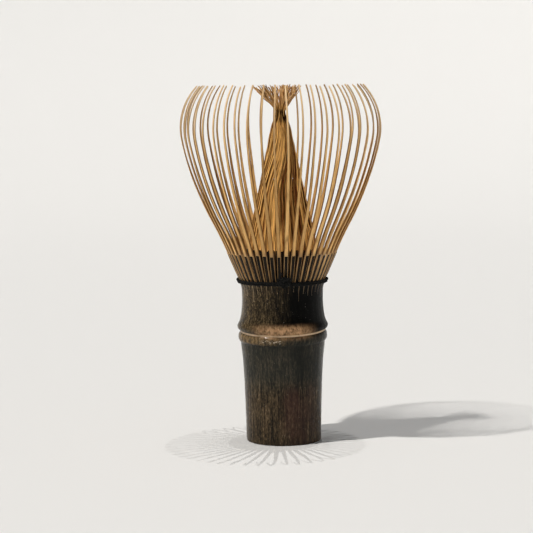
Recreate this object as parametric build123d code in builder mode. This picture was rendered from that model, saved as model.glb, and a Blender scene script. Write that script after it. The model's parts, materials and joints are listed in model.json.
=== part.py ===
"""Bamboo tea whisk: a handle of bamboo culm, a cage of outer tines, a cone of inner tines and a binding thread.

Millimetres, +Z up. The origin is the centre of the handle's lower end, and the whisk stands on it.
"""
from build123d import *
import os
from math import cos, radians, sin
from random import Random

# ---------------------------------------------------------------- driving dimensions
SEGMENTS = 16                 # segments that the neck is split into
TINES_PER_SEGMENT = 3         # tines that each segment gives, in the outer and in the inner layer
TINES = SEGMENTS * TINES_PER_SEGMENT

NECK_TOP = 51.75              # height at which the neck ends and the tines begin
NECK_TOP_RADIUS = 13.8
HINGE_RADIUS = 13.5           # line about which the outer tines flex, level with the thread
HINGE_HEIGHT = 52.4
TIP_HEIGHT = 115.2            # height of the outer tines' tips
WIDEST_RADIUS = 35.0          # more than any tine reaches

BORE_RADIUS = 8.6             # the culm's hollow below the node
CUP_RADIUS = 9.6              # the hollow above the node, at its floor
CUP_TOP_RADIUS = 10.2
DIAPHRAGM_LOW = 34.4          # underside and upper side of the node's diaphragm at its middle
DIAPHRAGM_HIGH = 37.2
BASE_CHAMFER = 0.35

SLIT_WIDTH = 0.28
SLIT_FLOOR_RADIUS = 12.35     # the slits part the outer half of the wall, which the cage grows from
SEGMENT_SLIT_DEPTH = 6.6      # slits between segments, measured down from the neck's top
TINE_SLIT_DEPTH = 4.0         # slits between the tines of one segment

ROOT_THICKNESS = 0.9          # an outer tine, skin to inner face, where it leaves the neck
ROOT_WIDTH = 1.3
TIP_WIDTH = 0.55
LARGEST_LEAN = 0.2            # degrees that an outer tine may lean sideways
PEEL_HEIGHT = 61.2            # the dark skin is shaved off the outer tines above this height
PEEL_STEP = 0.12              # how deep the shaving goes

INNER_ROOT_RADIUS = 12.2      # outer faces of the inner tines at the neck's top
INNER_ROOT_THICKNESS = 1.0
INNER_ROOT_WIDTH = 0.86
INNER_TIP_WIDTH = 0.3

THREAD_RADIUS = 0.3
LOWER_ROUND = (14.2, 51.9)    # radius and height of each round's centre line
UPPER_ROUND = (14.45, 52.5)
INNER_ROUND = (12.66, 52.2)

chance = Random(16)           # small differences from tine to tine, the same at every run


# ---------------------------------------------------------------- directions round the whisk
def radial(azimuth):
    """Unit vector that points away from the whisk's axis."""
    return Vector(cos(radians(azimuth)), sin(radians(azimuth)), 0)


def leaning_planes(azimuth, lean):
    """The plane that holds a tine's side view and the one that holds its front view.

    Both start on the whisk's axis at height 0, and a tine that leans is turned sideways about its own root.
    """
    out = radial(azimuth)
    sideways = radial(azimuth + 90)
    across = sideways * cos(radians(lean)) - Vector(0, 0, sin(radians(lean)))
    foot = Vector(0, 0, HINGE_HEIGHT) - sideways * HINGE_HEIGHT * sin(radians(lean))
    foot -= Vector(0, 0, HINGE_HEIGHT * cos(radians(lean)))
    side_view = Plane(origin=foot, x_dir=out, z_dir=-across)
    front_view = Plane(origin=foot, x_dir=across, z_dir=out)
    return side_view, front_view


def set_back(edge, place, depth):
    """The point that lies depth behind a side view's outer face, where edge is that face."""
    point = edge @ place
    along = edge % place
    return point + Vector(-along.Y, along.X) * depth


# ---------------------------------------------------------------- handle
with BuildPart() as handle:
    with BuildSketch(Plane.XZ):
        with BuildLine():
            base = Line((BORE_RADIUS, 0), (12.1, 0))
            grip = Spline(base @ 1, (12.5, 15.4), (12.95, 25.4), (13.42, 30.2), (13.7, 32.3))
            ridge = ThreePointArc(grip @ 1, (14.38, 33.7), (13.95, 35.1))
            groove_wall = Line(ridge @ 1, (13.75, 35.4))
            groove = Line(groove_wall @ 1, (13.75, 35.75))
            upper_rim = Spline(groove @ 1, (14.45, 36.3), (14.7, 37.3))
            neck = Spline(upper_rim @ 1, (13.92, 39.4), (13.38, 42.0), (13.1, 45.8), (13.12, 49.2),
                          (NECK_TOP_RADIUS, NECK_TOP))
            top = Line(neck @ 1, (CUP_TOP_RADIUS, NECK_TOP))
            cup_wall = Line(top @ 1, (CUP_RADIUS, DIAPHRAGM_HIGH + 2.2))
            cup_floor = Spline(cup_wall @ 1, (7.8, DIAPHRAGM_HIGH + 0.6), (0, DIAPHRAGM_HIGH),
                               tangents=[(0, -1), (-1, 0)])
            middle = Line(cup_floor @ 1, (0, DIAPHRAGM_LOW))
            ceiling = Spline(middle @ 1, (7.0, DIAPHRAGM_LOW - 0.6), (BORE_RADIUS, DIAPHRAGM_LOW - 2.6),
                             tangents=[(1, 0), (0, -1)])
            bore_wall = Line(ceiling @ 1, base @ 0)
        make_face()
    revolve(axis=Axis.Z)
    # the outer and inner edges of the sawn lower end are eased
    chamfer(handle.edges().filter_by(GeomType.CIRCLE).group_by(Axis.Z)[0], BASE_CHAMFER)
    # slits part the neck's wall into tines, and more deeply into segments
    for slits, depth in ((TINES, TINE_SLIT_DEPTH), (SEGMENTS, SEGMENT_SLIT_DEPTH)):
        with BuildSketch(Plane.XY.offset(NECK_TOP)):
            with PolarLocations(SLIT_FLOOR_RADIUS, slits):
                Rectangle(3, SLIT_WIDTH, align=(Align.MIN, Align.CENTER))
        extrude(amount=-depth, mode=Mode.SUBTRACT)
handle.part.label = "handle"


# ---------------------------------------------------------------- tines
def widened(side, side_view, front_view, root_width, tip_width):
    """A tine's side view given a width, then cut to the taper of its front view."""
    with BuildPart() as tine:
        with BuildSketch(side_view):
            add(side)
        extrude(amount=root_width, both=True)
        with BuildSketch(front_view):
            with BuildLine():
                Polyline((-root_width / 2, NECK_TOP - 1), (root_width / 2, NECK_TOP - 1),
                         (tip_width / 2, TIP_HEIGHT + 1), (-tip_width / 2, TIP_HEIGHT + 1), close=True)
            make_face()
        extrude(amount=WIDEST_RADIUS, mode=Mode.INTERSECT)
    return tine.part


def outer_tine(azimuth):
    """A tine of the cage: it leans out from the thread, swells and curls in at its tip."""
    spread = chance.uniform(-0.3, 0.3)
    curl = chance.uniform(-0.5, 0.5)
    tip_height = TIP_HEIGHT - chance.uniform(0, 0.35)
    peel = (17.75, PEEL_HEIGHT)
    shaved = (peel[0] - PEEL_STEP, peel[1] + PEEL_STEP / 2)
    with BuildSketch() as side:
        with BuildLine():
            skin = Line((HINGE_RADIUS + ROOT_THICKNESS / 2, HINGE_HEIGHT), peel)
            Line(peel, shaved)
            straight = Line(shaved, (22.4 + spread / 4, 70.6))
            swell = TangentArc(straight @ 1, (32.3 + spread, 97.2), tangent=straight % 1)
            hook = TangentArc(swell @ 1, (27.0 + spread + curl, tip_height), tangent=swell % 1)
            tip = Line(hook @ 1, set_back(hook, 1, 0.3))
            low = (HINGE_RADIUS - ROOT_THICKNESS / 2, HINGE_HEIGHT)
            waist = Line(low, set_back(straight, 1, 0.6))
            inside = TangentArc(waist @ 1, set_back(swell, 1, 0.4), tangent=waist % 1)
            TangentArc(inside @ 1, tip @ 1, tangent=inside % 1)
            # the heel is round about the line that the tine flexes on
            ThreePointArc(low, (HINGE_RADIUS, HINGE_HEIGHT - ROOT_THICKNESS / 2), skin @ 0)
        make_face()
    side_view, front_view = leaning_planes(azimuth, chance.uniform(-LARGEST_LEAN, LARGEST_LEAN))
    return widened(side.sketch, side_view, front_view, ROOT_WIDTH, TIP_WIDTH)


# an inner tine runs in one of three layers where the bundle is narrowest: radius at the waist and at the tip
LAYERS = [(2.3, 8.6), (1.55, 5.6), (2.3, 7.9), (0.88, 3.0)]


def inner_tine(azimuth, layer):
    """A tine of the bundle: it runs in to the waist, and flares out again above it."""
    waist, crown = layer
    tip_radius = crown + chance.uniform(-0.3, 0.3)
    tip_height = TIP_HEIGHT - 0.1 - chance.uniform(0, 0.9)
    bend = (11.0, 64.0)
    with BuildSketch() as side:
        with BuildLine():
            run = Line(bend, (waist + 0.25, 105.2))
            root = TangentArc(bend, (INNER_ROOT_RADIUS, NECK_TOP), tangent=-(run % 0))
            flare = TangentArc(run @ 1, (waist + 0.25 + (crown - waist) * 0.094, 107.6), tangent=run % 1)
            lift = TangentArc(flare @ 1, (tip_radius, tip_height), tangent=flare % 1)
            tip = Line(lift @ 1, set_back(lift, 1, 0.24))
            low = Line(root @ 1, (INNER_ROOT_RADIUS - INNER_ROOT_THICKNESS, NECK_TOP))
            inside = Line(set_back(run, 0, 0.7), set_back(run, 1, 0.36))
            TangentArc(inside @ 0, low @ 1, tangent=-(inside % 0))
            throat = TangentArc(inside @ 1, set_back(flare, 1, 0.32), tangent=inside % 1)
            TangentArc(throat @ 1, tip @ 1, tangent=throat % 1)
        make_face()
    side_view, front_view = leaning_planes(azimuth, 0)
    return widened(side.sketch, side_view, front_view, INNER_ROOT_WIDTH, INNER_TIP_WIDTH)


def segment(name, tines):
    """The tines that one segment of the neck gives in one layer, each a solid of its own."""
    with BuildPart() as group:
        for tine in tines:
            add(tine)
    group.part.label = name
    return group.part


pieces = [handle.part]
for number in range(SEGMENTS):
    places = [number * TINES_PER_SEGMENT + place for place in range(TINES_PER_SEGMENT)]
    # the two layers alternate, so an inner tine shows in the gap between two outer ones
    outer_tines = [outer_tine((place + 0.5) * 360 / TINES) for place in places]
    inner_tines = [inner_tine(place * 360 / TINES, LAYERS[place % len(LAYERS)]) for place in places]
    pieces.append(segment(f"outer_tines_{number + 1:02d}", outer_tines))
    pieces.append(segment(f"inner_tines_{number + 1:02d}", inner_tines))


# ---------------------------------------------------------------- binding thread
def thread_round(name, radius, height):
    """One round of the thread, a closed ring round the whisk's axis."""
    with BuildPart() as ring:
        with BuildSketch(Plane.XZ):
            with Locations((radius, height)):
                Circle(THREAD_RADIUS)
        revolve(axis=Axis.Z)
    ring.part.label = name
    return ring.part


pieces.append(thread_round("thread_round_lower", *LOWER_ROUND))
pieces.append(thread_round("thread_round_upper", *UPPER_ROUND))
pieces.append(thread_round("thread_round_inner", *INNER_ROUND))

# the knot lies on the two outer rounds, at the front
KNOT_DEPTH = 0.6
KNOT_HEIGHT = 0.9
KNOT_LENGTH = 1.1
with BuildPart() as thread_knot:
    with BuildSketch(Plane.YZ):
        with Locations((-(UPPER_ROUND[0] + THREAD_RADIUS + KNOT_DEPTH + 0.02), 52.1)):
            Ellipse(KNOT_DEPTH, KNOT_HEIGHT)
    extrude(amount=KNOT_LENGTH, both=True)
    fillet(thread_knot.edges(), 0.35)
thread_knot.part.label = "thread_knot"
pieces.append(thread_knot.part)

# ---------------------------------------------------------------- one file for each piece
os.makedirs("parts", exist_ok=True)
for piece in pieces:
    export_step(piece, f"parts/{piece.label}.step")
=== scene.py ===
"""Looks of the bamboo tea whisk, built round its fixed frame. Metres, +Z up, seen from -Y."""
import json
from math import atan2, cos, pi, radians, sin
from random import Random

import bpy
import numpy as np
from mathutils import Matrix, Vector


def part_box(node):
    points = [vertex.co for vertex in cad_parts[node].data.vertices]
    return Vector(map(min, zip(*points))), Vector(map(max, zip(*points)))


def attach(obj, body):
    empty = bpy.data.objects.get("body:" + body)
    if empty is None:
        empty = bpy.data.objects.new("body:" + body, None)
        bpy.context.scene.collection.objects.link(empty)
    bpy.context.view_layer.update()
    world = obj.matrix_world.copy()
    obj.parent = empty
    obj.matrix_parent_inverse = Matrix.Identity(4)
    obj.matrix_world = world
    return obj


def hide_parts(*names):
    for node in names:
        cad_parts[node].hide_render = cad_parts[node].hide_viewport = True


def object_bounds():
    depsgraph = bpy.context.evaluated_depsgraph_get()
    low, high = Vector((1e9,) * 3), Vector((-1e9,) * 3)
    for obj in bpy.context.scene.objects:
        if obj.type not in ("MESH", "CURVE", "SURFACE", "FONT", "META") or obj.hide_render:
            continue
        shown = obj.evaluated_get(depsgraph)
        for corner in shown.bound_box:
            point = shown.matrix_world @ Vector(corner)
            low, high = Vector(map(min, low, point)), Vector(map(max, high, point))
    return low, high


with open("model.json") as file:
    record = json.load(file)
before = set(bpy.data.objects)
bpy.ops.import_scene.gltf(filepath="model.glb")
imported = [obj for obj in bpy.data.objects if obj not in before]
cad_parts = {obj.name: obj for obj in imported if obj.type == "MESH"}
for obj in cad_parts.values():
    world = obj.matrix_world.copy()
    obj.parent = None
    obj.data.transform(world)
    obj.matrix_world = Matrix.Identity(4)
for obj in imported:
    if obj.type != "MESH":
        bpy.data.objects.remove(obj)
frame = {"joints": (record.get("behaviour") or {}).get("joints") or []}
CAD_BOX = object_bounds()

# Shapes are worked out in millimetres, and made into metres as each mesh is built.
MM = 0.001
SEGMENTS = 16
TINES_PER_SEGMENT = 3
TINES = SEGMENTS * TINES_PER_SEGMENT
PITCH = 2 * pi / TINES
PITCH_DEGREES = 360 / TINES
BORE_RADIUS = 8.6             # the culm's hollow, at its open end
WAIST_HEIGHT = 106.4          # where the bundle is narrowest

# ---------------------------------------------------------------- sizes from the frame, in millimetres
NECK_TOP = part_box("handle")[1].z / MM
TOP = CAD_BOX[1].z / MM
HINGE = frame["joints"][0]["pos_m"]
HINGE_RADIUS = Vector(HINGE[:2]).length / MM
HINGE_HEIGHT = HINGE[2] / MM

chance = Random(48)


# ---------------------------------------------------------------- mesh helpers
def mesh_object(name, vertices, faces, materials, slots=None, grain=None, tint=None, edge=None):
    """A smooth mesh object from millimetre vertices. slots gives each face's material, and grain, tint
    and edge each vertex's place along the bamboo's fibres, its shade and how near a cut edge it is."""
    mesh = bpy.data.meshes.new(name)
    mesh.from_pydata([(x * MM, y * MM, z * MM) for x, y, z in vertices], [], faces)
    for material in materials:
        mesh.materials.append(material)
    mesh.polygons.foreach_set("use_smooth", [True] * len(mesh.polygons))
    if slots is not None:
        mesh.polygons.foreach_set("material_index", slots)
    for key, kind, field, values in (("grain", "FLOAT_VECTOR", "vector", grain),
                                     ("tint", "FLOAT", "value", tint), ("edge", "FLOAT", "value", edge)):
        if values is not None:
            layer = mesh.attributes.new(key, kind, "POINT")
            layer.data.foreach_set(field, np.asarray(values, dtype=np.float32).ravel())
    obj = bpy.data.objects.new(name, mesh)
    bpy.context.scene.collection.objects.link(obj)
    return obj


def ring_faces(start, rings, sides, closed=False):
    """Quads between rings of points that follow each other in a vertex list; closed joins the last ring
    to the first."""
    faces = []
    for ring in range(rings if closed else rings - 1):
        low = start + ring * sides
        high = start + (ring + 1) % rings * sides
        for side in range(sides):
            after = (side + 1) % sides
            faces.append((low + side, low + after, high + after, high + side))
    return faces


def smooth_step(low, high, value):
    """0 below low, 1 above high, and a smooth rise between them, for numbers and arrays."""
    t = np.clip((value - low) / (high - low), 0.0, 1.0)
    return t * t * (3 - 2 * t)


def eased_curve(xs, ys, at):
    """Values of a curve through the points that doesn't swing past them (Fritsch and Carlson's cubic)."""
    xs, ys, at = np.asarray(xs, float), np.asarray(ys, float), np.asarray(at, float)
    step = np.diff(xs)
    slope = np.diff(ys) / step
    tangent = np.zeros(len(xs))
    same = slope[:-1] * slope[1:] > 0
    weight_a = 2 * step[1:] + step[:-1]
    weight_b = step[1:] + 2 * step[:-1]
    steep = np.where(same, slope[:-1], 1.0), np.where(same, slope[1:], 1.0)
    mean = (weight_a + weight_b) / (weight_a / steep[0] + weight_b / steep[1])
    tangent[1:-1] = np.where(same, mean, 0.0)
    tangent[0], tangent[-1] = slope[0], slope[-1]
    place = np.clip(np.searchsorted(xs, at) - 1, 0, len(step) - 1)
    width = step[place]
    t = (at - xs[place]) / width
    value = ys[place] * (1 + 2 * t) * (1 - t) ** 2 + ys[place + 1] * t * t * (3 - 2 * t)
    swing = tangent[place] * t * (1 - t) ** 2 - tangent[place + 1] * t * t * (1 - t)
    return value + width * swing


# ---------------------------------------------------------------- material helpers
def node(tree, kind, inputs=None, **settings):
    """Adds a shader node; inputs maps a socket's name or number to a value or to another node's socket."""
    made = tree.nodes.new(kind)
    for name, value in settings.items():
        setattr(made, name, value)
    for name, value in (inputs or {}).items():
        if isinstance(value, bpy.types.NodeSocket):
            tree.links.new(value, made.inputs[name])
        else:
            made.inputs[name].default_value = value
    return made


def maths(tree, operation, first, second):
    """A Math node's result."""
    return node(tree, "ShaderNodeMath", {0: first, 1: second}, operation=operation).outputs[0]


def times(tree, first, *others):
    """The values multiplied together."""
    for other in others:
        first = maths(tree, "MULTIPLY", first, other)
    return first


def plus(tree, first, *others):
    """The values added together."""
    for other in others:
        first = maths(tree, "ADD", first, other)
    return first


def weighted(tree, *terms):
    """The sum of (value, weight) terms."""
    return plus(tree, *[times(tree, value, weight) for value, weight in terms])


def graded(tree, value, low, high, at_low=0.0, at_high=1.0, kind="LINEAR"):
    """at_low where value is low or less, at_high where it is high or more, and a slope between them."""
    inputs = {0: value, 1: low, 2: high, 3: at_low, 4: at_high}
    return node(tree, "ShaderNodeMapRange", inputs, interpolation_type=kind).outputs[0]


def band(tree, value, low, high, soft):
    """1 where value lies between low and high, falling to 0 over soft on each side."""
    rise = graded(tree, value, low - soft, low, kind="SMOOTHSTEP")
    fall = graded(tree, value, high, high + soft, 1.0, 0.0, kind="SMOOTHSTEP")
    return times(tree, rise, fall)


def mixed(tree, share, first, second, blend="MIX"):
    """first and second mixed by share, as colours."""
    made = node(tree, "ShaderNodeMix", {0: share}, data_type="RGBA", blend_type=blend)
    for socket, value in ((made.inputs[6], first), (made.inputs[7], second)):
        if isinstance(value, bpy.types.NodeSocket):
            tree.links.new(value, socket)
        else:
            socket.default_value = (*value, 1)
    return made.outputs[2]


def ramp(tree, value, *stops):
    """A colour ramp through (place, colour) stops, where a plain number is a grey."""
    made = node(tree, "ShaderNodeValToRGB", {0: value})
    bar = made.color_ramp.elements
    while len(bar) < len(stops):
        bar.new(0.5)
    for element, (place, colour) in zip(bar, stops):
        element.position = place
        element.color = (*colour, 1) if isinstance(colour, tuple) else (colour, colour, colour, 1)
    return made.outputs[0]


def stretched(tree, place, x, y, z):
    """A place multiplied along each axis."""
    return node(tree, "ShaderNodeVectorMath", {0: place, 1: (x, y, z)}, operation="MULTIPLY").outputs[0]


def noise(tree, place, scale, detail=3.0, roughness=0.55, along=1.0):
    """Noise between 0 and 1 at a place in millimetres; along under 1 draws it out along the fibres."""
    if along != 1.0:
        place = stretched(tree, place, 1, 1, along)
    settings = {"Vector": place, "Scale": scale, "Detail": detail, "Roughness": roughness}
    return node(tree, "ShaderNodeTexNoise", settings).outputs[0]


def attribute(tree, name, output="Fac"):
    """A value of the mesh's own, such as its grain, tint or edge."""
    made = node(tree, "ShaderNodeAttribute", attribute_name=name, attribute_type="GEOMETRY")
    return made.outputs[output]


def new_material(name, roughness=0.5, specular=0.3):
    """A material, its node tree and its main shader."""
    material = bpy.data.materials.new(name)
    material.use_nodes = True
    tree = material.node_tree
    shader = tree.nodes["Principled BSDF"]
    shader.inputs["Roughness"].default_value = roughness
    shader.inputs["Specular IOR Level"].default_value = specular
    return material, tree, shader


def place_in_mm(tree):
    """The place on the object, in the frame's own axes, in millimetres."""
    place = node(tree, "ShaderNodeTexCoord").outputs["Object"]
    return stretched(tree, place, 1 / MM, 1 / MM, 1 / MM)


def bumped(tree, shader, height, depth_mm, strength):
    """Gives the shader relief from a height between 0 and 1."""
    inputs = {"Height": height, "Distance": depth_mm * MM, "Strength": strength}
    tree.links.new(node(tree, "ShaderNodeBump", inputs).outputs[0], shader.inputs["Normal"])


# ---------------------------------------------------------------- materials
# spans of height on the culm, in millimetres
WARM_SKIN = (2.0, 14.0)
BLOOM = (4.0, 15.0)
SOOT = (24.0, 31.5)
SOOT_FILM = (24.0, 31.0)
RIDGE = (32.8, 34.9)
# where the ridge gets a painted highlight of pale flecks
PAINTED_GLINT = (33.3, 34.1)
NECK_STARTS = (34.0, 38.0)
SCAR = (35.36, 35.74)
RUBBED = (36.1, 37.3)
# and on the tines
ROOTS_END = (61.0, 63.0)
BLEACHED = (90.0, 112.0)
# where the bundle's waist gets painted shade
WAIST_SHADE = (104.0, 106.2)
CROWN_STARTS = (107.5, 110.0)


def culm_skin():
    """Smoked bamboo skin: near black with golden brown fibres, worn to tan above the node, painted browner
    and lighter on the side the key light falls on, with a painted glint on the ridge.
    """
    material, tree, shader = new_material("smoked_culm_skin", roughness=0.55, specular=0.03)
    place = place_in_mm(tree)
    x, y = node(tree, "ShaderNodeSeparateXYZ", {0: place}).outputs[:2]
    # the node's ridge and groove aren't quite level, so the height along the culm is read from the mesh
    z = node(tree, "ShaderNodeSeparateXYZ", {0: attribute(tree, "grain", "Vector")}).outputs[2]
    fibres = noise(tree, place, 1.7, 5.0, 0.6, along=0.05)
    dashes = noise(tree, place, 3.3, 3.0, 0.62, along=0.25)
    fine = noise(tree, place, 5.5, 3.0, 0.6, along=0.12)
    mottle = noise(tree, place, 1.1, 5.0, 0.7, along=0.7)
    patchy = maths(tree, "SUBTRACT", noise(tree, place, 0.13, along=0.5), 0.5)
    # painted light: browner and lighter towards -X, where the key light falls, strongly so on the neck, and
    # less on the grip, which is sootier near its top
    lit_side = graded(tree, x, -13.0, 7.0, 1.05, -0.2)
    on_neck = plus(tree, lit_side, times(tree, patchy, 0.5))
    on_grip = plus(tree, times(tree, lit_side, 0.42), 0.50)
    # painted sheen: the grip is made a little browner towards its +X edge
    on_grip = plus(tree, on_grip, times(tree, band(tree, x, 9.0, 14.0, 5.0), 0.16))
    on_grip = plus(tree, on_grip, times(tree, patchy, 1.3))
    on_grip = plus(tree, on_grip, times(tree, band(tree, z, *SOOT, 6.0), -0.12))
    neck = graded(tree, z, *NECK_STARTS)
    brownness = node(tree, "ShaderNodeMix", {0: neck, 2: on_grip, 3: on_neck}, data_type="FLOAT").outputs[0]
    streaks = weighted(tree, (fibres, 0.42), (dashes, 0.38), (fine, 0.20))
    brown = ramp(tree, streaks, (0.42, (0.010, 0.0085, 0.0055)), (0.50, (0.053, 0.043, 0.026)),
                 (0.57, (0.145, 0.113, 0.069)), (0.66, (0.35, 0.27, 0.175)))
    golden_brown = ramp(tree, streaks, (0.42, (0.012, 0.008, 0.004)), (0.50, (0.085, 0.058, 0.027)),
                        (0.57, (0.23, 0.16, 0.078)), (0.66, (0.50, 0.37, 0.20)))
    black = ramp(tree, streaks, (0.42, (0.0008, 0.0008, 0.0006)), (0.56, (0.002, 0.002, 0.0014)),
                 (0.66, (0.024, 0.020, 0.013)))
    colour = mixed(tree, brownness, black, mixed(tree, neck, brown, golden_brown))
    specks = ramp(tree, noise(tree, place, 3.4, 3.0, 0.7, along=0.5), (0.38, 0.14), (0.60, 1.0))
    colour = mixed(tree, neck, colour, specks, "MULTIPLY")
    # a smooth, greyer film of soot high on the grip, and warmer skin low on it
    film = times(tree, band(tree, z, *SOOT_FILM, 8.0), 0.6)
    colour = mixed(tree, film, colour, (0.020, 0.022, 0.019))
    colour = mixed(tree, band(tree, z, *WARM_SKIN, 8.0), colour, (1.0, 0.86, 0.76), "MULTIPLY")
    # a reddish bloom low on the grip
    bloom = ramp(tree, noise(tree, place, 0.2, 2.0, along=0.3), (0.42, 0.1), (0.62, 0.6))
    bloom = times(tree, band(tree, z, *BLOOM, 7.0), bloom, band(tree, x, 3.0, 7.0, 6.0))
    reddish = mixed(tree, dashes, (0.014, 0.004, 0.003), (0.105, 0.048, 0.036))
    colour = mixed(tree, bloom, colour, reddish)
    # the skin is rubbed through above the node, most of all at the front
    front = graded(tree, y, -2.0, -12.0, 0.3, 1.0)
    ragged = weighted(tree, (mottle, 0.7), (dashes, 0.3))
    rubbed = times(tree, band(tree, z, *RUBBED, 2.6), front, band(tree, x, -4.5, 5.0, 7.0))
    rubbed = times(tree, rubbed, ramp(tree, ragged, (0.38, 0.20), (0.53, 1.0)))
    rubbed = times(tree, rubbed, ramp(tree, noise(tree, place, 0.22, 2.0), (0.36, 0.5), (0.56, 1.0)))
    colour = mixed(tree, rubbed, colour, mixed(tree, fibres, (0.18, 0.082, 0.032), (0.76, 0.47, 0.25)))
    # the ridge below the groove is dark, with golden patches that fade away from the lit -X side, and a
    # painted highlight of pale flecks left of the front
    golden = ramp(tree, ragged, (0.44, 0.1), (0.58, 0.9))
    golden = times(tree, band(tree, z, *RIDGE, 0.4), golden, lit_side)
    colour = mixed(tree, golden, colour, (0.26, 0.165, 0.072))
    glint = noise(tree, stretched(tree, place, 0.5, 0.5, 1.7), 2.2, 3.0, 0.65)
    glint = times(tree, band(tree, z, *PAINTED_GLINT, 0.4), ramp(tree, glint, (0.53, 0.0), (0.64, 0.9)))
    glint = times(tree, glint, band(tree, x, -5.5, -2.0, 3.0))
    colour = mixed(tree, glint, colour, (0.68, 0.56, 0.42))
    # the sheath's scar in the groove is bare
    scar = ramp(tree, noise(tree, place, 0.35, 2.0), (0.28, 0.5), (0.5, 1.0))
    scar = times(tree, band(tree, z, *SCAR, 0.16), scar)
    colour = mixed(tree, scar, colour, mixed(tree, fine, (0.50, 0.34, 0.20), (0.86, 0.66, 0.46)))
    dust = ramp(tree, noise(tree, place, 2.6, 1.0), (0.765, 0.0), (0.79, 0.6))
    colour = mixed(tree, dust, colour, (0.30, 0.27, 0.22))
    tree.links.new(colour, shader.inputs["Base Color"])
    # the blackest skin is also the dullest: the sooty skin, and the side painted darker away from the key
    # light
    tree.links.new(graded(tree, brownness, 0.05, 0.55, 0.30, 0.75), shader.inputs["Coat Weight"])
    tree.links.new(ramp(tree, mottle, (0.35, 0.13), (0.65, 0.30)), shader.inputs["Coat Roughness"])
    shader.inputs["Coat IOR"].default_value = 1.2
    shader.inputs["Sheen Weight"].default_value = 0.07
    shader.inputs["Sheen Roughness"].default_value = 0.20
    bumped(tree, shader, weighted(tree, (dashes, 0.6), (mottle, 0.4)), 0.05, 0.7)
    return material


def flesh(name, dark, light, worn, bundle=False):
    """Split bamboo: long fibres, darker along its cut edges, with a shade of its own for each tine. The
    bundle's roots, down inside the cage, and its waist under the crown are painted dark as shade, and it
    is bleached only at its crown."""
    material, tree, shader = new_material(name, specular=0.05)
    grain = attribute(tree, "grain", "Vector")
    tint = attribute(tree, "tint")
    fibres = noise(tree, grain, 3.2, 5.0, 0.65, along=0.06)
    colour = ramp(tree, weighted(tree, (fibres, 0.55), (tint, 0.45)), (0.26, dark), (0.70, light))
    stain = ramp(tree, noise(tree, grain, 0.35, along=0.35), (0.52, 0.0), (0.72, 0.7))
    colour = mixed(tree, times(tree, stain, tint), colour, worn)
    rim = graded(tree, attribute(tree, "edge"), 0.55, 1.0, 0.0, 0.8)
    colour = mixed(tree, rim, colour, worn)
    height = node(tree, "ShaderNodeSeparateXYZ", {0: place_in_mm(tree)}).outputs[2]
    if bundle:
        # painted shade: the bundle's waist, under the crown's overhang, is darkened, most on its darker
        # strands
        waist = ramp(tree, tint, (0.55, 1.0), (0.75, 0.25))
        waist = times(tree, band(tree, height, *WAIST_SHADE, 1.7), waist)
        colour = mixed(tree, waist, colour, (0.020, 0.005, 0.0006))
    # the cut sides of the cage's roots are greyed by handling, and the bundle's roots, down inside the cage,
    # are painted near black as shade
    greyed_and_shaded = graded(tree, height, *ROOTS_END, 0.65 if bundle else 0.5, 0.0)
    colour = mixed(tree, greyed_and_shaded, colour, (0.035, 0.020, 0.009) if bundle else (0.22, 0.165, 0.115))
    # the tips are the palest
    bleached = ramp(tree, tint, (0.2, 0.15), (0.8, 1.0))
    bleached = times(tree, graded(tree, height, *BLEACHED, 0.0, 0.72), bleached)
    if bundle:
        bleached = times(tree, bleached, graded(tree, height, *CROWN_STARTS))
    colour = mixed(tree, bleached, colour, (0.95, 0.62, 0.30) if bundle else (0.86, 0.65, 0.40))
    tree.links.new(colour, shader.inputs["Base Color"])
    tree.links.new(ramp(tree, fibres, (0.3, 0.42), (0.7, 0.62)), shader.inputs["Roughness"])
    bumped(tree, shader, fibres, 0.04, 0.8)
    return material


def tine_skin():
    """The culm's dark skin, where it is left on the roots of the tines."""
    material, tree, shader = new_material("smoked_tine_skin", specular=0.08)
    fibres = noise(tree, attribute(tree, "grain", "Vector"), 4.0, 5.0, 0.65, along=0.08)
    colour = ramp(tree, fibres, (0.40, (0.003, 0.0025, 0.002)), (0.58, (0.014, 0.009, 0.005)),
                  (0.72, (0.075, 0.048, 0.026)))
    tree.links.new(colour, shader.inputs["Base Color"])
    tree.links.new(ramp(tree, fibres, (0.3, 0.34), (0.7, 0.55)), shader.inputs["Roughness"])
    bumped(tree, shader, fibres, 0.03, 0.7)
    return material


def end_grain():
    """The sawn lower end: pale, with the dark dots of the bamboo's bundles, and darker towards the skin."""
    material, tree, shader = new_material("sawn_end_grain", 0.7)
    place = place_in_mm(tree)
    radius = node(tree, "ShaderNodeVectorMath", {0: stretched(tree, place, 1, 1, 0)}, operation="LENGTH")
    outward = graded(tree, radius.outputs["Value"], BORE_RADIUS, 12.0)
    cells = node(tree, "ShaderNodeTexVoronoi", {"Vector": place, "Scale": 1.5}).outputs["Distance"]
    reach = plus(tree, times(tree, outward, 0.22), 0.16)
    dots = times(tree, maths(tree, "LESS_THAN", cells, reach), 0.75)
    ground = ramp(tree, outward, (0.0, (0.36, 0.23, 0.12)), (0.8, (0.19, 0.11, 0.055)),
                  (1.0, (0.03, 0.02, 0.014)))
    tree.links.new(mixed(tree, dots, ground, (0.075, 0.04, 0.02)), shader.inputs["Base Color"])
    bumped(tree, shader, cells, 0.08, 0.6)
    return material


def thread_black():
    """Black cotton thread: dull and slightly fuzzy."""
    material, tree, shader = new_material("black_cotton_thread", 0.85, 0.15)
    shader.inputs["Sheen Weight"].default_value = 0.03
    shader.inputs["Sheen Roughness"].default_value = 0.5
    fuzz = noise(tree, place_in_mm(tree), 6.0, 4.0, 0.7)
    colour = ramp(tree, fuzz, (0.35, (0.001, 0.001, 0.001)), (0.7, (0.012, 0.012, 0.010)))
    tree.links.new(colour, shader.inputs["Base Color"])
    bumped(tree, shader, fuzz, 0.06, 0.9)
    return material


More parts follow.
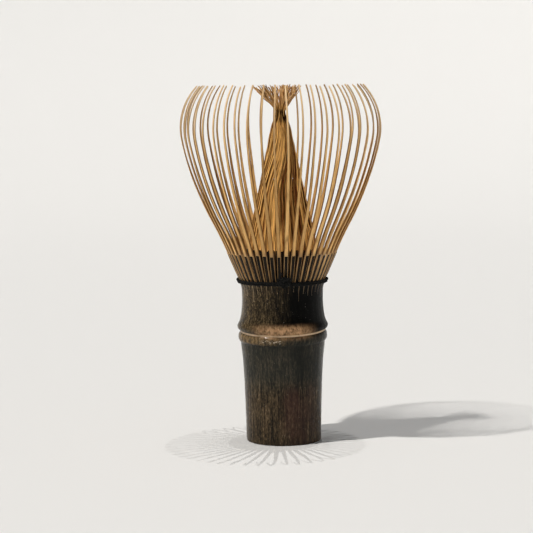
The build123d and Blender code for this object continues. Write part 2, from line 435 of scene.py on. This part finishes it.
CULM_SKIN = culm_skin()
CULM_FLESH = flesh("culm_flesh", (0.03, 0.018, 0.009), (0.60, 0.44, 0.26), (0.12, 0.06, 0.025))
CAGE_FLESH = flesh("cage_flesh", (0.17, 0.055, 0.004), (0.94, 0.57, 0.22), (0.09, 0.022, 0.001))
BUNDLE_FLESH = flesh("bundle_flesh", (0.11, 0.022, 0.001), (1.0, 0.555, 0.165), (0.040, 0.006, 0.0005),
                     bundle=True)
TINE_SKIN = tine_skin()
END_GRAIN = end_grain()
THREAD_BLACK = thread_black()


# ---------------------------------------------------------------- tines
CORNER = 2 / 4.5              # power that rounds a strip's rectangular section at its corners
SKIN_LENGTH = 10.75           # dark skin left on a tine, measured along it from its root
SHAVE = 0.13                  # how far a tine's outer face is cut back where its skin is gone
THREAD_BITE = 0.17            # how far the thread pinches a tine of the cage, and where along it
BITE_PLACE = 1.35
# each layer of the bundle's strands, as its radius at the waist and at the top of the crown, once for
# each share of the strands that it holds
LAYERS = [(1.6, 8.4)] * 3 + [(1.2, 5.0)] + [(1.45, 6.8)] * 2 + [(0.65, 2.8)]


def arc_chain(points, lean, step):
    """Places along smooth arcs through (radius, height) points, as (distance, radius, height, lean) rows.
    lean is the angle from upright, outwards, and each arc starts at the lean that the last one ends with."""
    rows = [(0.0, *points[0], lean)]
    travelled = 0.0
    for (r0, z0), (r1, z1) in zip(points, points[1:]):
        turn = 2 * (atan2(r1 - r0, z1 - z0) - lean)
        chord = ((r1 - r0) ** 2 + (z1 - z0) ** 2) ** 0.5
        if abs(turn) < 1e-4:
            turn = 1e-4
        length = chord * (turn / 2) / sin(turn / 2)
        bend = turn / length
        count = max(2, round(length / step))
        for number in range(1, count + 1):
            gone = length * number / count
            now = lean + bend * gone
            rows.append((travelled + gone, r0 + (cos(lean) - cos(now)) / bend,
                         z0 + (sin(now) - sin(lean)) / bend, now))
        lean += turn
        travelled += length
    return np.array(rows)


def strip_section(sides):
    """The rounded outline of a strip's section, as (across, outwards) between -1 and 1."""
    outline = []
    for side in range(sides):
        angle = 2 * pi * (side + 0.5) / sides
        across = np.sign(cos(angle)) * abs(cos(angle)) ** CORNER
        outwards = np.sign(sin(angle)) * abs(sin(angle)) ** CORNER
        outline.append((float(across), float(outwards)))
    return outline


class Strips:
    """The tines of one node, gathered into one mesh."""

    def __init__(self, sides, darkest):
        self.section = strip_section(sides)
        self.darkest = darkest
        self.vertices, self.faces, self.slots = [], [], []
        self.grain, self.tint, self.edge = [], [], []

    def add(self, azimuth, rows, width, thickness, shave, peel, twist):
        """One tine. azimuth, width, thickness, shave and twist are arrays, one value for each row. The outer
        face keeps its dark skin up to the distance peel, and shave says how far it is cut back."""
        start = len(self.vertices)
        own = chance.uniform(0, 400)
        shade = chance.uniform(self.darkest, 1.0)
        sections = zip(rows, azimuth, width, thickness, shave, twist)
        for (gone, r, z, lean), bearing, w, t, cut, turned in sections:
            out = (cos(bearing), sin(bearing))
            for across, outwards in self.section:
                u = across * w / 2
                v = (outwards - 1) * t / 2 - cut
                u, v = u * cos(turned) - v * sin(turned) * 0.5, v + u * sin(turned)
                radius = r + v * cos(lean)
                self.vertices.append((radius * out[0] - u * out[1], radius * out[1] + u * out[0],
                                      z - v * sin(lean)))
                self.grain.append((across * w / 2 + own, outwards * t / 2, gone + own))
                self.tint.append(shade)
                self.edge.append(abs(across) if gone > peel else 0.0)
        rings, sides = len(rows), len(self.section)
        self.faces += ring_faces(start, rings, sides)
        high = [outwards > 0.8 for _, outwards in self.section]
        outward = [high[side] and high[(side + 1) % sides] for side in range(sides)]
        for ring in range(rings - 1):
            skinned = rows[ring + 1][0] <= peel + 1e-6
            self.slots += [1 if skinned and faces_out else 0 for faces_out in outward]
        self.faces.append(tuple(range(start + sides - 1, start - 1, -1)))
        last = start + (rings - 1) * sides
        self.faces.append(tuple(range(last, last + sides)))
        self.slots += [0, 0]

    def make(self, name, flesh_material):
        """The mesh object of all the tines that were added."""
        return mesh_object(name, self.vertices, self.faces, [flesh_material, TINE_SKIN], self.slots,
                           self.grain, self.tint, self.edge)


def wander(gone, size, *lengths):
    """A slow random sway that is 0 at the root and about size at the tip."""
    total = sum(np.sin(2 * pi * gone / length + chance.uniform(0, 2 * pi)) for length in lengths)
    return total / len(lengths) * size * smooth_step(0.0, gone[-1], gone)


def rounded_tip(rows, width, thickness):
    """Narrows the last rows of a strip so that its tip isn't square."""
    left = rows[-1][0] - rows[:, 0]
    ease = np.sqrt(np.clip(1 - (1 - np.clip(left / 0.5, 0, 1)) ** 2, 0.12, 1))
    return width * ease, thickness * (0.4 + 0.6 * ease)


def cut_to(rows, length):
    """The rows up to a distance, with closely spaced ones at the tip."""
    kept = rows[rows[:, 0] < length - 0.55]
    ends = [length - 0.5, length - 0.3, length - 0.15, length - 0.05, length]
    tip = [[np.interp(end, rows[:, 0], rows[:, column]) for column in range(4)] for end in ends]
    return np.vstack([kept, tip])


def with_peel(rows, peel):
    """The rows with two more where the skin ends, so that the cut is sharp."""
    extra = [[np.interp(gone, rows[:, 0], rows[:, column]) for column in range(4)]
             for gone in (peel, peel + 0.12)]
    clear = rows[np.abs(rows[:, 0] - peel - 0.06) > 0.25]
    return np.array(sorted(clear.tolist() + extra))


def add_outer_tine(strips, place):
    """A tine of the cage."""
    # the outer face's line, from 1 mm below the hinge to the curled tip
    points = [(HINGE_RADIUS, HINGE_HEIGHT - 1.0), (HINGE_RADIUS + 0.45, HINGE_HEIGHT), (17.8, 61.2),
              (22.4, 70.6), (32.3, 97.2), (27.0, TOP)]
    rows = arc_chain(points, radians(24.4), 0.9)
    peel = SKIN_LENGTH + chance.uniform(-0.3, 0.3)
    rows = cut_to(with_peel(rows, peel), rows[-1][0] - abs(chance.gauss(0.15, 0.35)))
    gone = rows[:, 0]
    share = gone / gone[-1]
    spread = chance.uniform(-0.55, 0.05)
    rows[:, 1] += spread * smooth_step(0.1, 0.8, share) + wander(gone, 0.22, 31, 47) - 0.15 * share
    width = np.interp(gone, [0, 6, 12, 22, 32, 45, 58, gone[-1]],
                      [1.30, 1.30, 1.36, 1.26, 1.00, 0.72, 0.60, 0.47])
    width = width * chance.uniform(0.9, 1.06)
    thickness = np.interp(gone, [0, 1, 3, 11, 21, 49, 68], [0.77, 0.73, 0.68, 0.74, 0.66, 0.42, 0.34])
    thickness = thickness * chance.uniform(0.9, 1.08)
    width, thickness = rounded_tip(rows, width, thickness)
    # the thread bites into the tines, level with the hinge
    bite = THREAD_BITE * np.exp(-((gone - BITE_PLACE) / 0.8) ** 2)
    thickness = thickness - 1.6 * bite
    shave = SHAVE * smooth_step(peel, peel + 0.12, gone) + bite
    lit_side = wander(gone, 0.36, 58, 90) + chance.uniform(-0.27, 0.27) * share ** 1.5
    twist = chance.uniform(-0.16, 0.16) * share
    strips.add((place + 0.5) * PITCH + lit_side / rows[:, 1], rows, width, thickness, shave, peel, twist)


def add_strand(strips, place, side):
    """A third of a bundle tine: side is -1, 0 or 1."""
    waist, crown = chance.choice(LAYERS)
    waist += chance.uniform(-0.1, 0.1)
    # the crown reaches further towards -X
    crown = (crown + chance.uniform(-1.0, 0.0)) * (1 - 0.16 * cos(place * PITCH))
    top = TOP - 0.1 - 0.12 * crown * chance.random() - abs(chance.gauss(0.0, 0.5))
    # how far inside the cone's outer face this strand runs
    inside = 1 - 0.22 * chance.random() ** 2
    flare = crown - waist
    outline = [(12.2, NECK_TOP - 0.4), (11.9, 57.0), (11.1, 64.5), (9.9 * (0.5 + 0.5 * inside), 71.0),
               (8.1 * inside, 79.0), (4.6 * inside, 95.0), (2.9 * inside, 102.6), (waist, WAIST_HEIGHT),
               (waist + 0.10 * flare, WAIST_HEIGHT + 1.1), (waist + 0.45 * flare, 110.2), (crown, top)]
    radii, heights = zip(*outline)
    z = np.concatenate([np.arange(heights[0], 100.0, 1.1), np.arange(100.0, top - 0.3, 0.4), [top]])
    r = eased_curve(heights, radii, z)
    gone = np.concatenate([[0.0], np.cumsum(np.hypot(np.diff(r), np.diff(z)))])
    rows = np.column_stack([gone, r, z, np.arctan2(np.gradient(r), np.gradient(z))])
    peel = SKIN_LENGTH + 0.6 + chance.uniform(-0.35, 0.35)
    rows = cut_to(with_peel(rows, peel), rows[-1][0])
    gone = rows[:, 0]
    split = smooth_step(7, 22, gone)
    width = np.interp(gone, [0, 10, 17, 30, 42, 49, 56, gone[-1]],
                      [0.44, 0.50, 0.68, 0.60, 0.44, 0.33, 0.28, 0.22])
    width = width * chance.uniform(0.85, 1.15)
    thickness = np.interp(gone, [0, 10, 12, 40, 54, gone[-1]], [0.9, 0.7, 0.45, 0.34, 0.26, 0.18])
    width, thickness = rounded_tip(rows, width, thickness)
    shave = 0.1 * smooth_step(peel, peel + 0.12, gone)
    near_waist = smooth_step(28.0, 50.0, gone)
    loose = smooth_step(55.5, 66.0, gone)
    # the strands cross one another on the way up, and turn together through the waist
    apart = side * (0.42 + (PITCH * rows[:, 1] / 3 - 0.42) * split)
    crossing = (wander(gone, 0.45, 17, 29) + chance.uniform(-0.35, 0.35) * split) * (1 - near_waist)
    crossing += wander(gone, 0.12, 4, 6.5) * split
    rows[:, 1] += wander(gone, 0.10, 5, 8) * split + wander(gone, 0.45, 6, 9) * loose
    rows[:, 1] = np.maximum(rows[:, 1], 0.25)
    curl = chance.uniform(-2.8, 2.8) * loose ** 2 + wander(gone, 0.5, 5, 8) * loose
    azimuth = place * PITCH + (apart + crossing + curl) / np.maximum(rows[:, 1], 1.6) + 0.6 * near_waist
    twist = chance.uniform(-0.4, 0.4) * gone / gone[-1]
    strips.add(azimuth, rows, width, thickness, shave, peel, twist)


def add_inner_tine(strips, place):
    """A tine of the bundle, which is split into three strands above the binding."""
    for side in (-1, 0, 1):
        add_strand(strips, place, side)


for segment in range(SEGMENTS):
    number = f"{segment + 1:02d}"
    places = range(segment * TINES_PER_SEGMENT, (segment + 1) * TINES_PER_SEGMENT)
    cage, bundle = Strips(16, 0.35), Strips(12, 0.0)
    for tine in places:
        add_outer_tine(cage, tine)
        add_inner_tine(bundle, tine)
    cage_piece = cage.make(f"cage_tines_{number}", CAGE_FLESH)
    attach(cage_piece, f"cage_segment_{number}")
    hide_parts(f"outer_tines_{number}")
    bundle_piece = bundle.make(f"bundle_tines_{number}", BUNDLE_FLESH)
    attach(bundle_piece, "handle")
    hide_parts(f"inner_tines_{number}")


# ---------------------------------------------------------------- handle
# the culm's outside as (height, radius), from the sawn end up to the neck's top
PROFILE = [(0.0, 11.75), (0.12, 11.95), (0.5, 12.1), (5.0, 12.22), (15.4, 12.5), (25.4, 12.95),
           (30.2, 13.42), (31.7, 13.6), (32.2, 13.68), (32.45, 13.86), (32.9, 14.2), (33.6, 14.38),
           (34.4, 14.32), (35.0, 14.08), (35.35, 13.8), (35.55, 13.75), (35.75, 13.8), (36.0, 14.2),
           (36.5, 14.52), (37.3, 14.70), (37.8, 14.56), (39.4, 13.92), (42.0, 13.38),
           (45.8, 13.1), (49.0, 13.12), (50.5, 13.38), (NECK_TOP, 13.8)]
# the hollow as (radius, height), from the diaphragm's underside down to the sawn end
BORE = [(0.6, 34.4), (2.4, 34.4), (5.0, 34.1), (7.4, 33.2), (8.3, 31.2), (8.5, 26.0), (8.6, 17.0),
        (8.55, 8.0), (BORE_RADIUS, 0.45), (8.75, 0.1), (9.1, 0.0), (10.2, 0.0), (11.3, 0.0)]
SAWN_RINGS = 4                # how many of its rings edge the sawn face
# the cup above the diaphragm, from its mouth down
CUP = [(10.0, 47.0), (9.7, 41.6), (9.3, 39.2), (8.2, 38.0), (6.0, 37.4), (3.0, 37.2), (0.6, 37.2)]
CUP_RADIUS = 10.2
NODE_HEIGHT = 35.2
TINE_SLIT = 3.8               # how far a slit runs down below the neck's top, times 0.45 to 1.1
SEGMENT_SLIT = 5.8
SLIT_DEPTH = 2.0
# columns of points round one tine's pitch, in degrees from the slit's middle
COLUMNS = [-2.8, -2.0, -1.35, -0.85, -0.45, 0.45, 0.85, 1.35, 2.0, 2.8, 3.75]
# heights of the outside's rings, which are closest together at the node
LEVELS = np.concatenate([np.linspace(0, 0.5, 5), np.arange(1.0, 30.0, 0.7), np.arange(30.0, 39.0, 0.14),
                         np.arange(39.2, 44.0, 0.5), np.arange(44.1, NECK_TOP - 0.1, 0.25), [NECK_TOP]])
# the columns along the bottom of a slit, and those and its edges
IS_SLIT = np.tile(np.abs(COLUMNS) < 0.5, TINES)
ON_EDGE = np.tile(np.abs(COLUMNS) < 0.9, TINES)


def smooth_noise(shape, coarse, seed):
    """Random values on a grid that change slowly, every coarse cells; the first axis closes on itself."""
    source = np.random.default_rng(seed).uniform(-1, 1, [max(2, n // c) for n, c in zip(shape, coarse)])
    first = np.linspace(0, source.shape[0], shape[0], endpoint=False)
    second = np.linspace(0, source.shape[1] - 1.001, shape[1])
    i, j = first.astype(int), second.astype(int)
    a = smooth_step(0, 1, first - i)[:, None]
    b = smooth_step(0, 1, second - j)[None, :]
    after = (i + 1) % source.shape[0]
    low = source[np.ix_(i, j)] * (1 - b) + source[np.ix_(i, j + 1)] * b
    high = source[np.ix_(after, j)] * (1 - b) + source[np.ix_(after, j + 1)] * b
    return low * (1 - a) + high * a


def outer_skin():
    """The culm's outside: its radius, height and angle for each column and level, and how far up its slit
    each point is, from 0 at the slit's foot to 1 at the neck's top."""
    tine_of = np.repeat(np.arange(TINES), len(COLUMNS))
    reach = np.where(tine_of % TINES_PER_SEGMENT == 0, SEGMENT_SLIT, TINE_SLIT)
    foot = NECK_TOP - reach * np.random.default_rng(5).uniform(0.45, 1.1, TINES)[tine_of]
    up = np.clip((LEVELS[None, :] - foot[:, None]) / (NECK_TOP - foot[:, None]), 0, 1)
    # a slit narrows towards its foot
    centre = np.radians(tine_of * PITCH_DEGREES)[:, None]
    bearing = np.radians(tine_of * PITCH_DEGREES + np.tile(COLUMNS, TINES))
    angle = bearing[:, None] * np.ones((1, len(LEVELS)))
    narrowed = centre + (angle - centre) * (0.35 + 0.65 * up)
    angle = np.where(ON_EDGE[:, None] & (up > 0), narrowed, angle)
    shape = angle.shape
    near_node = np.exp(-((LEVELS - NODE_HEIGHT) / 3.0) ** 2)
    radius = eased_curve(*zip(*PROFILE), LEVELS)[None, :] * np.ones((shape[0], 1))
    radius += 0.02 * smooth_noise(shape, (4, 30), 1) + 0.012 * smooth_noise(shape, (2, 12), 2)
    radius += 0.07 * smooth_noise(shape, (90, 60), 3) * smooth_step(0.5, 6, LEVELS)[None, :]
    radius += 0.05 * smooth_noise(shape, (12, 8), 4) * near_node[None, :]
    radius -= np.where(IS_SLIT[:, None], SLIT_DEPTH * smooth_step(0.0, 0.28, up), 0)
    # the node dips at the front and the back, and is highest towards +X
    shift = 0.25 + 0.20 * np.cos(angle) + 0.30 * np.cos(2 * angle) + 0.05 * np.sin(3 * angle + 0.4)
    return radius, LEVELS[None, :] + shift * near_node[None, :], angle, up


def make_handle():
    """The culm as one closed skin: bore, sawn end, outside, slit neck, top, cup and diaphragm."""
    radius, z, angle, up = outer_skin()
    columns = len(radius)
    base_angle, top_angle, top_radius = angle[:, 0], angle[:, -1], radius[:, -1]
    # each ring is its points' radii, heights and angles, and its level along the culm
    rings = []
    for r, height in BORE:
        uneven = r + 0.05 * np.sin(9 * base_angle) * (0.4 < height < 30)
        rings.append((uneven, np.full(columns, height), base_angle, height))
    first = len(rings)
    for row, level in enumerate(LEVELS):
        rings.append((radius[:, row], z[:, row], angle[:, row], level))
    top = len(rings) - 1
    for share in (0.12, 0.4, 0.7, 0.93, 1.0):
        height = NECK_TOP - (0.25 if share == 1.0 else 0)
        inwards = top_radius + (CUP_RADIUS - top_radius) * share
        rings.append((inwards, np.full(columns, height), top_angle, height))
    for r, height in CUP:
        rings.append((np.full(columns, r), np.full(columns, height), top_angle, height))
    vertices, grain, tint = [], [], []
    for number, (radii, heights, turns, level) in enumerate(rings):
        for r, height, turn in zip(radii, heights, turns):
            vertices.append((r * cos(turn), r * sin(turn), height))
            grain.append((turn * 13.0, r, level))
            # painted shade: the slits' flesh is darker towards +X, away from the key light, and lighter
            # towards -X
            tint.append(0.5 - 0.5 * cos(turn) if first <= number < top else 0.75)
    slots = []
    for ring in range(len(rings) - 1):
        for column in range(columns):
            after = (column + 1) % columns
            if ring >= top or ring < first - SAWN_RINGS:
                slots.append(1)
            elif ring < first:
                slots.append(2)
            else:
                cut = (IS_SLIT[column] or IS_SLIT[after]) and ON_EDGE[column] and ON_EDGE[after]
                slots.append(1 if cut and up[column, ring - first + 1] > 0.02 else 0)
    faces = ring_faces(0, len(rings), columns)
    last = (len(rings) - 1) * columns
    faces += [tuple(range(columns - 1, -1, -1)), tuple(range(last, last + columns))]
    slots += [1, 1]
    materials = [CULM_SKIN, CULM_FLESH, END_GRAIN]
    return mesh_object("culm_handle", vertices, faces, materials, slots, grain, tint)


handle = make_handle()
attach(handle, "handle")
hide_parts("handle")


# ---------------------------------------------------------------- binding thread
STRAND_SIDES = 8
STRAND_RADIUS = 0.22
PLY_RADIUS = 0.17             # how far each strand lies from the thread's middle


def direction(path, place, closed):
    """Which way a path of Vectors runs at one of its places."""
    count = len(path)
    before = path[place - 1] if closed or place else path[place]
    after = path[(place + 1) % count] if closed or place < count - 1 else path[place]
    return (after - before).normalized()


def tube(path, radius, closed):
    """Vertices and faces of a round tube along a path of Vectors, with caps if it is open."""
    count = len(path)
    vertices = []
    side = None
    for place, point in enumerate(path):
        along = direction(path, place, closed)
        if side is None:
            side = along.orthogonal().normalized()
        side = (side - along * side.dot(along)).normalized()
        other = along.cross(side)
        for number in range(STRAND_SIDES):
            turn = 2 * pi * number / STRAND_SIDES
            vertices.append(point + (side * cos(turn) + other * sin(turn)) * radius)
    faces = ring_faces(0, count, STRAND_SIDES, closed)
    if not closed:
        faces.append(tuple(range(STRAND_SIDES - 1, -1, -1)))
        faces.append(tuple(range((count - 1) * STRAND_SIDES, count * STRAND_SIDES)))
    return vertices, faces


def plied(path, twist, closed):
    """Two strands twisted round each other along a path, as one list of vertices and faces."""
    vertices, faces = [], []
    count = len(path)
    for strand in range(2):
        wound = []
        for place, point in enumerate(path):
            along = direction(path, place, closed)
            up = Vector((0, 0, 1)) if abs(along.z) < 0.8 else Vector((0, -1, 0))
            across = along.cross(up).normalized()
            other = across.cross(along)
            turn = twist * place / count + pi * strand
            wound.append(point + (across * cos(turn) + other * sin(turn)) * PLY_RADIUS)
        more, quads = tube(wound, STRAND_RADIUS, closed)
        base = len(vertices)
        vertices += more
        faces += [tuple(base + corner for corner in face) for face in quads]
    return vertices, faces


def thread_round(node_name, turns, press, inset=0.0):
    """A round of the thread, pressed in a little between the tines; inset moves it in from its CAD place,
    to clear the tines as they flex."""
    low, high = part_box(node_name)
    radius = high.x / MM - (high.z - low.z) / MM / 2 - inset
    height = (low.z + high.z) / 2 / MM
    steps = TINES * 16
    phase = chance.uniform(0, 2 * pi)
    path = []
    for step in range(steps):
        turn = 2 * pi * step / steps
        r = radius + press * cos(TINES * (turn - PITCH / 2))
        lift = 0.05 * sin(TINES * turn / 2) + 0.05 * sin(5 * turn + phase)
        path.append(Vector((r * cos(turn), r * sin(turn), height + lift)))
    vertices, faces = plied(path, 2 * pi * turns, closed=True)
    piece = mesh_object(f"{node_name}_twisted", vertices, faces, [THREAD_BLACK])
    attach(piece, "handle")
    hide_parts(node_name)


thread_round("thread_round_lower", 70, 0.07)
thread_round("thread_round_upper", 71, 0.08)
thread_round("thread_round_inner", 66, 0.02, inset=0.28)


def smooth_path(points, count):
    """Places along a smooth open curve through the points."""
    ends = [points[0] * 2 - points[1]] + points + [points[-1] * 2 - points[-2]]
    path = []
    for number in range(count):
        at = number / (count - 1) * (len(points) - 1)
        span = min(int(at), len(points) - 2)
        t = at - span
        a, b, c, d = ends[span:span + 4]
        path.append(0.5 * (2 * b + (c - a) * t + (2 * a - 5 * b + 4 * c - d) * t * t
                           + (3 * b - a - 3 * c + d) * t ** 3))
    return path


def make_knot():
    """The thread's knot at the front: loops drawn tight on the roots of the tines, and two short tails."""
    low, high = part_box("thread_knot")
    middle = (low + high) / 2 / MM + Vector((0.45, 0.1, 0.9))
    vertices, faces = [], []

    def lay(points, turns, closed):
        """Adds a stretch of thread that leans back with the tines, clear of them as they flex."""
        leant = [middle + Vector((point.x, point.y - 0.42 * point.z, point.z)) for point in points]
        more, quads = plied(leant, 2 * pi * turns, closed)
        base = len(vertices)
        vertices.extend(more)
        faces.extend(tuple(base + corner for corner in face) for face in quads)

    for size, turned in ((0.72, 0.0), (0.60, 1.1), (0.45, 2.3)):
        loop = []
        for step in range(90):
            turn = 2 * pi * step / 90
            across, up = sin(turn) + 2 * sin(2 * turn), cos(turn) - 2 * cos(2 * turn)
            x = size * (across * cos(turned) - up * sin(turned))
            y = 0.22 * sin(3 * turn) - 0.35 * turned
            z = 0.8 * size * (across * sin(turned) + up * cos(turned))
            loop.append(Vector((x, y, z)))
        lay(loop, 10, True)
    for tail in ([(-0.4, 0.0, 0.2), (-1.1, -0.1, 1.1), (-1.2, -0.1, 2.2), (-0.9, -0.1, 3.0)],
                 [(0.4, 0.0, 0.0), (1.5, -0.1, -0.5), (2.3, 0.0, -1.2), (2.8, 0.1, -2.1)]):
        lay(smooth_path([Vector(point) for point in tail], 40), 3, False)
    piece = mesh_object("thread_knot_tied", vertices, faces, [THREAD_BLACK])
    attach(piece, "handle")
    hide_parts("thread_knot")


make_knot()


# ---------------------------------------------------------------- stage, lights and camera
def make_cove():
    """A round floor that sweeps up into a wall, the same from every side, in metres."""
    flat, bend, wall = 0.9, 1.0, 0.55
    outline = [(0.02, 0.0), (0.3, 0.0), (flat, 0.0)]
    outline += [(flat + bend * sin(a), wall - wall * cos(a)) for a in np.linspace(0.06, pi / 2, 20)]
    sides = 96
    turns = [2 * pi * side / sides for side in range(sides)]
    vertices = [(r * cos(turn), r * sin(turn), z) for r, z in outline for turn in turns]
    faces = [face[::-1] for face in ring_faces(0, len(outline), sides)]
    faces.append(tuple(range(sides)))
    mesh = bpy.data.meshes.new("studio_cove")
    mesh.from_pydata(vertices, [], faces)
    mesh.polygons.foreach_set("use_smooth", [True] * len(mesh.polygons))
    material, tree, shader = new_material("pale_paper", 0.9)
    shader.inputs["Base Color"].default_value = (0.80, 0.80, 0.79, 1)
    shader.inputs["Emission Color"].default_value = (1.0, 1.0, 0.985, 1)
    # the upright part glows a little, as a wall with a lamp of its own would
    facing = node(tree, "ShaderNodeNewGeometry").outputs["Normal"]
    upward = node(tree, "ShaderNodeSeparateXYZ", {0: facing}).outputs[2]
    glow = times(tree, maths(tree, "SUBTRACT", 1.0, upward), 0.22)
    tree.links.new(glow, shader.inputs["Emission Strength"])
    mesh.materials.append(material)
    cove = bpy.data.objects.new("studio_cove", mesh)
    bpy.context.scene.collection.objects.link(cove)


def add_sun(name, travel, strength, angle, colour):
    """A far light that shines along travel, and looks angle degrees wide."""
    light = bpy.data.lights.new(name, "SUN")
    light.energy = strength
    light.angle = radians(angle)
    light.color = colour
    obj = bpy.data.objects.new(name, light)
    obj.rotation_euler = Vector(travel).to_track_quat("-Z", "Y").to_euler()
    bpy.context.scene.collection.objects.link(obj)


def add_fill(colour, strength):
    """An even light from all round."""
    world = bpy.data.worlds.new("studio_fill")
    world.use_nodes = True
    background = world.node_tree.nodes["Background"]
    background.inputs["Color"].default_value = (*colour, 1)
    background.inputs["Strength"].default_value = strength
    bpy.context.scene.world = world


def add_camera(eye, down, roll, lens):
    """The camera, at a place in millimetres, tilted down and rolled by degrees, with a 36 mm wide frame."""
    data = bpy.data.cameras.new("camera")
    data.lens = lens
    data.sensor_width = 36
    data.clip_start = 0.01
    camera = bpy.data.objects.new("camera", data)
    tilt = Matrix.Rotation(pi / 2 - radians(down), 4, "X") @ Matrix.Rotation(radians(roll), 4, "Z")
    camera.matrix_world = Matrix.Translation(Vector(eye) * MM) @ tilt
    bpy.context.scene.collection.objects.link(camera)
    bpy.context.scene.camera = camera


make_cove()
add_fill(colour=(0.93, 0.96, 1.0), strength=0.11)
add_sun("key", travel=(0.481, 0.277, -0.832), strength=2.25, angle=2.0, colour=(1.0, 0.965, 0.92))
add_sun("overhead", travel=(-0.060, -0.09, -1.0), strength=0.88, angle=0.2, colour=(1.0, 0.98, 0.96))
add_camera(eye=(-5.05, -583.0, 115.0), down=5.724, roll=-0.65, lens=122.6)
bpy.context.scene.view_settings.view_transform = "Standard"
